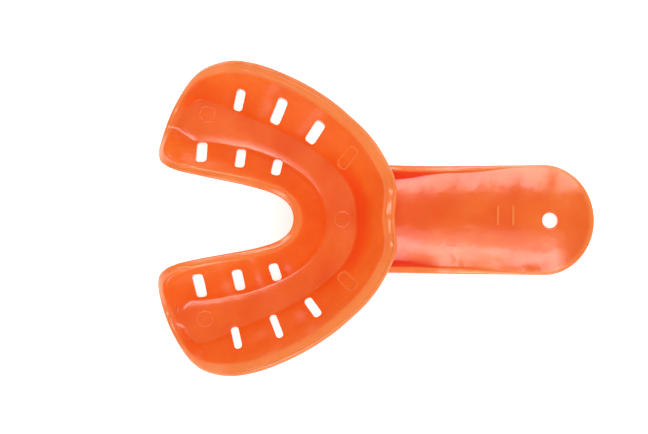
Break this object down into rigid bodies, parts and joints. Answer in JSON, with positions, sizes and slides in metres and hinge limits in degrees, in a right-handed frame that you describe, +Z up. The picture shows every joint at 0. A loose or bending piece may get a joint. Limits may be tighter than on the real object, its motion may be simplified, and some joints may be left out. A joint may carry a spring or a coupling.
{
  "type": "dental impression tray",
  "caption": "Horseshoe-shaped lower-arch impression tray with a U-section trough, slotted sloping walls, rolled rims and a flat dished handle with a tether hole.",
  "frame": {"origin": "on the rest plane, under the middle of the front floor band, on the midline", "axes": "+X towards the free end of the handle, +Y to the left leg of the arch seen from the heels, +Z up out of the trough"},
  "size_m": [0.1126, 0.0804, 0.0175],
  "materials": {
    "tray_plastic": "glossy, slightly see-through injection-moulded polystyrene, orange"
  },
  "bodies": {
    "root": {"arch_floor": "tray_plastic", "labial_flange": "tray_plastic", "buccal_flange_left": "tray_plastic", "buccal_flange_right": "tray_plastic", "lingual_flange": "tray_plastic", "heel_flange_left": "tray_plastic", "heel_flange_right": "tray_plastic", "labial_rim": "tray_plastic", "buccal_rim_left": "tray_plastic", "buccal_rim_right": "tray_plastic", "lingual_rim": "tray_plastic", "heel_rim_left": "tray_plastic", "heel_rim_right": "tray_plastic", "handle_neck": "tray_plastic", "handle_dish": "tray_plastic", "handle_rail_left": "tray_plastic", "handle_rail_right": "tray_plastic", "handle_end_rim": "tray_plastic", "size_mark_bar_1": "tray_plastic", "size_mark_bar_2": "tray_plastic", "ejector_mark_left": "tray_plastic", "ejector_mark_right": "tray_plastic", "ejector_mark_front": "tray_plastic"}
  },
  "joints": []
}
